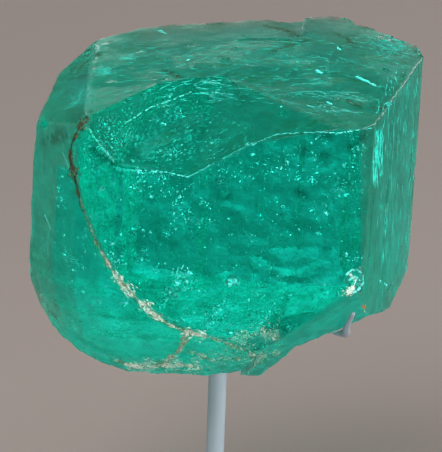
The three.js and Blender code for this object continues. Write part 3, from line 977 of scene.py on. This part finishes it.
def inner_voids(tree):
    """Veils of tiny voids, loose voids, and growth tubes along the crystal's axis."""
    voids = []
    for _ in range(VEIL_COUNT):
        middle = random_place_inside(tree, VEIL_MARGIN * MM)
        facing = random_direction()
        reach = CHANCE.uniform(*VEIL_REACH) * MM
        voids += veil(tree, middle, facing, reach, VEIL_VOIDS, VEIL_VOID_SIZE * MM)
    for _ in range(LOOSE_VOID_COUNT):
        length = CHANCE.uniform(*LOOSE_VOID_SIZE) * MM
        place = random_place_inside(tree, LOOSE_VOID_MARGIN * MM)
        voids.append(placement(place, random_direction(), (length, length * 0.6, length * 0.3)))
    for _ in range(TUBE_COUNT):
        length = CHANCE.uniform(*TUBE_LENGTH) * MM
        place = random_place_inside(tree, length * TUBE_COVER)
        sizes = (TUBE_WIDTH * MM, TUBE_WIDTH * MM, length)
        voids.append(placement(place, Vector((0, 0, 1)), sizes))
    piece = uneven_balls("tiny_voids", voids, UNEVENNESS)
    face_everything(piece, inside=True)
    return piece


def emerald_material():
    """Clear green stone, with frost, films, smudges, painted shade and stains where the masks have them."""
    shader = Shader("emerald")
    frost = shader.mask("frost")
    film = shader.mask("film")
    broad_sweeps, fine_sweeps = (
        shader.ramp(shader.arcs(SWEEP_CENTRE, *fineness), *levels)
        for fineness, levels in (BROAD_SWEEPS, FINE_SWEEPS)
    )
    filmed = shader.math("MULTIPLY", film, shader.math("MULTIPLY", broad_sweeps, fine_sweeps))
    bare = shader.math("MULTIPLY", film, shader.mottling(*BARE_MOTTLING))
    grainy = shader.math("MULTIPLY", frost, shader.mottling(*FROST_MOTTLING, *FROST_ROUGHNESS))
    rough = shader.math("MULTIPLY", grainy, shader.ramp(bare, 0, 1, *BARE_ROUGHER))
    # Darkens the colour by the smudge mask: real smudges, and painted shade on the lower left, the left side
    # and a band of the front
    smudged = shader.math("MULTIPLY", shader.mask("smudge_and_shade"), shader.mottling(*SMUDGE_AND_SHADE_MOTTLING))
    patchy = shader.math("MULTIPLY", shader.mask("stain"), shader.mottling(*STAIN_MOTTLING))
    film_colour = shader.mix(shader.mottling(*OLIVE_MOTTLING), FILM, OLIVE_FILM)
    colour = shader.mix(shader.mottling(*SHADE_MOTTLING, end=MOST_SHADE), CLEAR, SHADE)
    colour = shader.mix(shader.math("MULTIPLY", bare, BARE_SHADE), colour, SHADE)
    colour = shader.mix(filmed, colour, film_colour)
    colour = shader.mix(smudged, colour, SMUDGE_AND_SHADE_COLOUR)
    colour = shader.mix(patchy, colour, shader.mix(shader.mask("rust"), PALE_STAIN, DARK_STAIN))
    sheen = shader.mix(frost, CLEAR_SHEEN, DULL_SHEEN)
    shader.set(
        Base_Color=colour,
        Roughness=shader.math("ADD", rough, LEAST_ROUGHNESS),
        Specular_Tint=shader.mix(filmed, sheen, FILM_SHEEN),
        Normal=shader.grain(*STONE_GRAIN, frost),
        Transmission_Weight=1.0,
        IOR=EMERALD_IOR,
    )
    volume = shader.value(
        "ShaderNodeVolumeAbsorption", "Volume", Color=ABSORBED_COLOUR, Density=ABSORPTION_DENSITY,
    )
    shader.give(shader.output.inputs["Volume"], volume)
    return shader.material


def emerald_crystal():
    """The clear stone. Returns a tree of its outside, on which the crusts are placed."""
    piece = copy_of_node("emerald_crystal", "emerald")
    remesh_crystal(piece)
    zones = shape_surfaces(piece)
    tree = BVHTree.FromObject(piece, bpy.context.evaluated_depsgraph_get())
    parts = parts_of_surface(piece, tree, zones)
    for finish, shares in FINISHES.items():
        amount = sum(share * parts[name] for name, share in shares.items())
        store_mask(piece, finish, np.clip(amount, 0, 1))
    voids = inner_voids(tree)
    only(piece)
    voids.select_set(True)
    bpy.ops.object.join()
    only(piece)
    bpy.ops.object.shade_smooth_by_angle(angle=STONE_EDGE_ANGLE)
    finish_piece(piece, emerald_material(), ["emerald_crystal"])
    return tree


# Flecks, splinters and crusts


def fleck_material(name, metallic):
    """Green to pale green, by the tone of each fleck."""
    shader = Shader(name)
    shader.set(
        Base_Color=shader.mix(shader.mask("tone"), FLECK_GREEN, FLECK_PALE),
        Roughness=FLECK_ROUGHNESS,
        Metallic=metallic,
    )
    return shader.material


def mirror_cloud(tree, middle, facing, reach, count, size, scatter):
    """Placements of thin mirrors in a loose cluster, all turned more or less one way."""
    flecks = []
    for _ in range(count):
        place = middle + random_direction() * reach * CHANCE.random() ** FLECK_CROWDING
        length = size * min(LARGEST_FLECK, math.exp(CHANCE.gauss(*FLECK_SIZE_SPREAD)))
        sizes = (length, length * CHANCE.uniform(*FLECK_WIDTH), length * FLECK_THICKNESS)
        if well_inside(tree, place, length * COVER):
            flecks.append(placement(place, facing + scatter * random_direction(), sizes))
    return flecks


def clustered_flecks(tree):
    """The flecks that crowd where the photograph has them."""
    flecks = []
    for across, down, depth, reach, count in FLECK_CLUSTERS:
        middle, facing = below_surface(tree, across, down, depth * MM)
        flecks += mirror_cloud(tree, middle, facing, reach * MM, count, FLECK_SIZE * MM, CLUSTER_SCATTER)
    return flecks


def scattered_flecks(tree):
    """Knots of flecks at random pixels, and then loose ones."""
    flecks = []
    for tried in range(FLECK_TRIES):
        across = CHANCE.uniform(*FLECKED_ACROSS)
        down = CHANCE.uniform(*FLECKED_DOWN)
        if not on_surface(tree, across, down):
            continue
        middle, facing = below_surface(tree, across, down, CHANCE.uniform(*FLECK_DEPTH) * MM)
        if tried < KNOT_TRIES:
            reach = CHANCE.uniform(*KNOT_REACH) * MM
            flecks += mirror_cloud(tree, middle, facing, reach, KNOT_FLECKS, FLECK_SIZE * MM, KNOT_SCATTER)
        else:
            reach = LOOSE_REACH * MM
            flecks += mirror_cloud(tree, middle, facing, reach, 1, FLECK_SIZE * MM, LOOSE_SCATTER)
    return flecks


def glints(tree):
    """Tight groups of larger flecks for the brightest spots."""
    flecks = []
    for across, down, width in GLINTS:
        if on_surface(tree, across, down):
            reach = 0.5 * width * PIXEL
            middle, facing = below_surface(tree, across, down, GLINT_COVER * MM + reach)
            count = FEWEST_IN_GLINT + 2 * width
            flecks += mirror_cloud(tree, middle, facing, reach, count, 0.5 * reach, GLINT_SCATTER)
    return flecks


def pale_flecks(tree):
    """Healed cracks inside the stone, as thin mirrors that catch the light."""
    flecks = clustered_flecks(tree) + scattered_flecks(tree) + glints(tree)
    tones = [CHANCE.uniform(0, 1) for _ in flecks]
    piece = uneven_balls("pale_flecks", flecks, UNEVENNESS, tones)
    finish_piece(piece, fleck_material("mirror_flecks", 1.0))


def splinter(tree, across, down, heading, length, width):
    """Placement of a thin splinter on the stone at a pixel, along a heading in the picture."""
    hit = on_surface(tree, across, down)
    ahead = on_surface(tree, across + heading[0], down + heading[1])
    if not hit or not ahead:
        return []
    along = ahead[0] - hit[0]
    if along.length > LONGEST_PIXEL:
        return []
    return [placement(hit[0], hit[1], (0.5 * length, 0.5 * width, SPLINTER_THICKNESS * width), along)]


def broken_line(tree, route, width, gaps):
    """Splinters end to end along a route, with gaps."""
    steps = max(1, int(sum(math.dist(a, b) for a, b in zip(route, route[1:])) / SPLINTER_STEP))
    splinters = []
    for i in range(steps):
        if CHANCE.random() < gaps:
            continue
        here = point_on_route(route, i / steps)
        there = point_on_route(route, min(1, (i + 1) / steps))
        heading = [there[0] - here[0], there[1] - here[1]]
        length = SPLINTER_LENGTH * PIXEL * CHANCE.uniform(0.7, 1.3)
        thick = width * CHANCE.uniform(0.5, 1.4)
        down = here[1] + CHANCE.uniform(-LINE_WAVER, LINE_WAVER)
        splinters += splinter(tree, here[0], down, heading, length, thick)
    return splinters


def scratches(tree, box, slope, count, length, width):
    """Thin broken lines scattered over a box of the picture, all near one slope in degrees."""
    left, top, right, bottom = box
    splinters = []
    for _ in range(count):
        turn = math.radians(slope + CHANCE.gauss(0, SCRATCH_TURN))
        reach = length * CHANCE.uniform(0.3, 1.4)
        across = CHANCE.uniform(left, right)
        down = CHANCE.uniform(top, bottom)
        end = (across + reach * math.cos(turn), down + reach * math.sin(turn))
        splinters += broken_line(tree, [(across, down), end], width, SCRATCH_GAPS)
    return splinters


def spread_evenly(left, top, right, bottom, count):
    """Pixels scattered evenly over a box."""
    return [(CHANCE.uniform(left, right), CHANCE.uniform(top, bottom)) for _ in range(count)]


def crowded(across, down, wide, high, count):
    """Pixels that crowd round one pixel and thin out away from it."""
    return [(CHANCE.gauss(across, wide), CHANCE.gauss(down, high)) for _ in range(count)]


def streaks(tree, pixels, slope, length, width):
    """Splinters at some pixels, all near one slope in degrees."""
    splinters = []
    for across, down in pixels:
        turn = math.radians(slope + CHANCE.gauss(0, STREAK_TURN))
        heading = (math.cos(turn), math.sin(turn))
        long = length * CHANCE.uniform(0.4, 1.5)
        wide = width * CHANCE.uniform(0.5, 1.3)
        splinters += splinter(tree, across, down, heading, long, wide)
    return splinters


def bright_edges(tree):
    """Bruised edges, scratches and streaks as thin pale splinters on the surface, painted highlights where
    they catch the light, and pale bruises.
    """
    groups = []
    for lines, width, gaps, tone in BRIGHT_LINES:
        groups.append((tone, [one for line in lines for one in broken_line(tree, line, width * MM, gaps)]))
    for box, slope, count, length, width, tone in SCRATCH_PATCHES:
        groups.append((tone, scratches(tree, box, slope, count, length, width * MM)))
    for kind, patch, count, slope, length, width, tone in STREAK_PATCHES:
        pixels = crowded(*patch, count) if kind == "crowded" else spread_evenly(*patch, count)
        groups.append((tone, streaks(tree, pixels, slope, length * MM, width * MM)))
    splinters = [one for _, group in groups for one in group]
    tones = [
        min(1, max(0, tone + CHANCE.gauss(0, SPLINTER_TONE_SPREAD)))
        for tone, group in groups
        for _ in group
    ]
    piece = uneven_balls("bright_edges", splinters, UNEVENNESS, tones)
    # The pale tones paint the highlights, and the colour of the bruises
    finish_piece(piece, fleck_material("bruise_and_painted_highlight", 0.0))


def crust_along(tree, route, count, width, size, tone):
    """Placements and tones of small flakes along a route on the stone, drawn out along it."""
    flakes = []
    tones = []
    while len(flakes) < count:
        share = CHANCE.random()
        far = PATCHES_PER_PIXEL * share * math.dist(route[0], route[-1])
        patch = noise.noise(Vector((far, route[0][0], 0)))
        if patch < BARE_LEVEL and CHANCE.random() < BARE_SHARE:
            continue
        across, down = point_on_route(route, share)
        ahead = point_on_route(route, min(1, share + FLAKE_AHEAD))
        heading = (ahead[0] - across + LEAST_HEADING, ahead[1] - down)
        spread = width * (BARE_SPREAD + ADDED_SPREAD * float(fade(patch, BARE_LEVEL, FULL_LEVEL)))
        aside = (CHANCE.gauss(0, spread), CHANCE.gauss(0, spread))
        hit = on_surface(tree, across + aside[0], down + aside[1])
        next_hit = on_surface(tree, across + aside[0] + heading[0], down + aside[1] + heading[1])
        if not hit or not next_hit:
            continue
        length = size * CHANCE.uniform(*FLAKE_LENGTH)
        sizes = (length, 0.5 * size * CHANCE.uniform(*FLAKE_WIDTH), FLAKE_THICKNESS * size)
        along = next_hit[0] - hit[0] + FLAKE_WAVER * random_direction()
        flakes.append(placement(hit[0], hit[1] + FLAKE_TILT * random_direction(), sizes, along))
        tones.append(tone + PATCH_TONE * patch + CHANCE.gauss(0, FLAKE_TONE_SPREAD))
    return flakes, tones


def crust_material():
    """Dry crust, from black through olive and cream to orange by the tone of each flake."""
    shader = Shader("crust")
    tone = shader.math("ADD", shader.mask("tone"), shader.mottling(*CRUST_MOTTLING, *CRUST_TONE_MOTTLE))
    colour = CRUST_BLACK
    for low, high, next_colour in CRUST_COLOURS:
        colour = shader.mix(shader.ramp(tone, low, high), colour, next_colour)
    shader.set(
        Base_Color=colour,
        Roughness=CRUST_ROUGHNESS,
        Normal=shader.grain(*CRUST_GRAIN, CRUST_GRAIN_STRENGTH),
    )
    return shader.material


def seam_crust(tree):
    """Rust, clay and pale crust in the open seam and along the broken foot of the stone."""
    flakes = []
    tones = []
    for route, count, width, size, tone in CRUSTS:
        more_flakes, more_tones = crust_along(tree, route, count, width, size * MM, tone)
        flakes += more_flakes
        tones += more_tones
    piece = uneven_balls("seam_crust", flakes, CRUST_UNEVENNESS, tones)
    finish_piece(piece, crust_material())


# The stand


def stand_paint():
    """Satin blue-grey paint, a little uneven."""
    shader = Shader("stand_paint")
    shader.set(
        Base_Color=shader.mix(shader.noise(*PAINT_MOTTLING[:2]), *PAINT_COLOURS),
        Roughness=shader.mottling(*PAINT_MOTTLING, *PAINT_ROUGHNESS),
        Normal=shader.grain(*PAINT_GRAIN, PAINT_GRAIN_STRENGTH),
    )
    return shader.material


def claws(paint):
    """The wires and their hub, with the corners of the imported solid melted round."""
    piece = copy_of_node("claw_cradle", "claws")
    melt = piece.modifiers.new("melt", "REMESH")
    melt.mode = "VOXEL"
    melt.voxel_size = MELT_SIZE
    apply_modifier(piece, melt)
    smooth_shape(piece, SOFTEN_PASSES)
    bpy.ops.object.shade_smooth()
    finish_piece(piece, paint, ["claw_cradle"])


def turned_part(node_name, piece_name, paint):
    piece = copy_of_node(node_name, piece_name)
    bpy.ops.object.shade_smooth_by_angle(angle=TURNED_EDGE_ANGLE)
    finish_piece(piece, paint, [node_name])


def stand():
    paint = stand_paint()
    claws(paint)
    turned_part("stand_rod", "rod", paint)
    turned_part("stand_base", "base", paint)


add_camera()
add_lights()
add_floor()
build_mottling()
build_grain()
stone = emerald_crystal()
pale_flecks(stone)
bright_edges(stone)
seam_crust(stone)
stand()

scene = bpy.context.scene
scene.view_settings.view_transform = "Standard"
scene.cycles.max_bounces = MOST_BOUNCES
scene.cycles.transmission_bounces = MOST_BOUNCES
